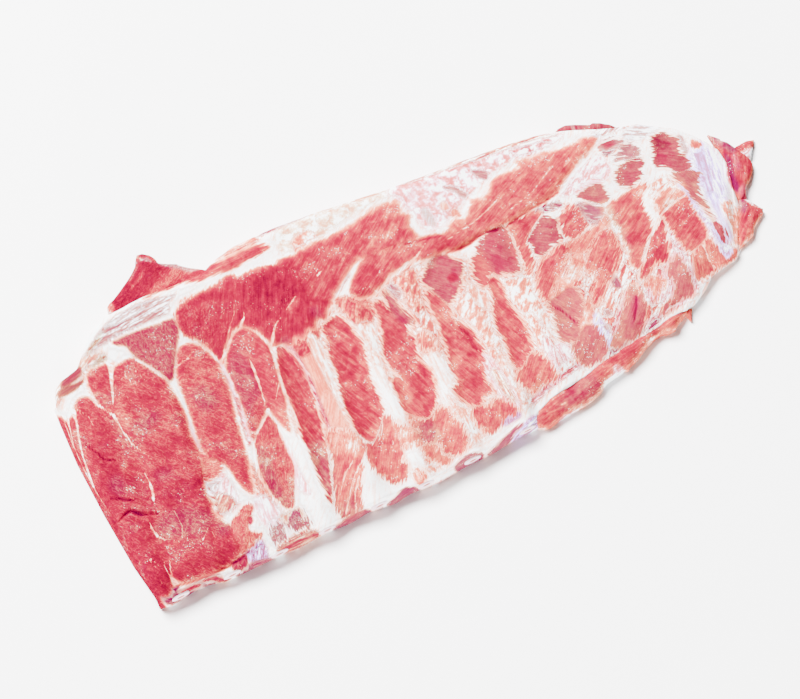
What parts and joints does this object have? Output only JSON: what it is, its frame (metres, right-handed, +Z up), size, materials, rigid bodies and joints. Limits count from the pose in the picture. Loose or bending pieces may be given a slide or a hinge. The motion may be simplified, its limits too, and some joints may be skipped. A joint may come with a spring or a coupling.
{
  "type": "raw pork rib rack",
  "caption": "Raw rack of pork spare ribs lying bone side up, with its skirt muscle, fat edge and loose flaps of meat.",
  "frame": {"origin": "middle of the bounding box, on the flat underside", "axes": "+X along the rack towards its thin end, +Y across it towards the fat edge, +Z up out of the bone side"},
  "size_m": [0.4978, 0.2314, 0.0284],
  "materials": {
    "meat": "wet raw meat with white fat and thin pale membrane over it",
    "bone": "damp sawn bone, matt"
  },
  "bodies": {
    "root": {"rib_meat": "meat", "rib_bone_1": "bone", "rib_bone_2": "bone", "rib_bone_3": "bone", "rib_bone_4": "bone", "rib_bone_5": "bone", "rib_bone_6": "bone", "rib_bone_7": "bone", "rib_bone_8": "bone"}
  },
  "joints": []
}
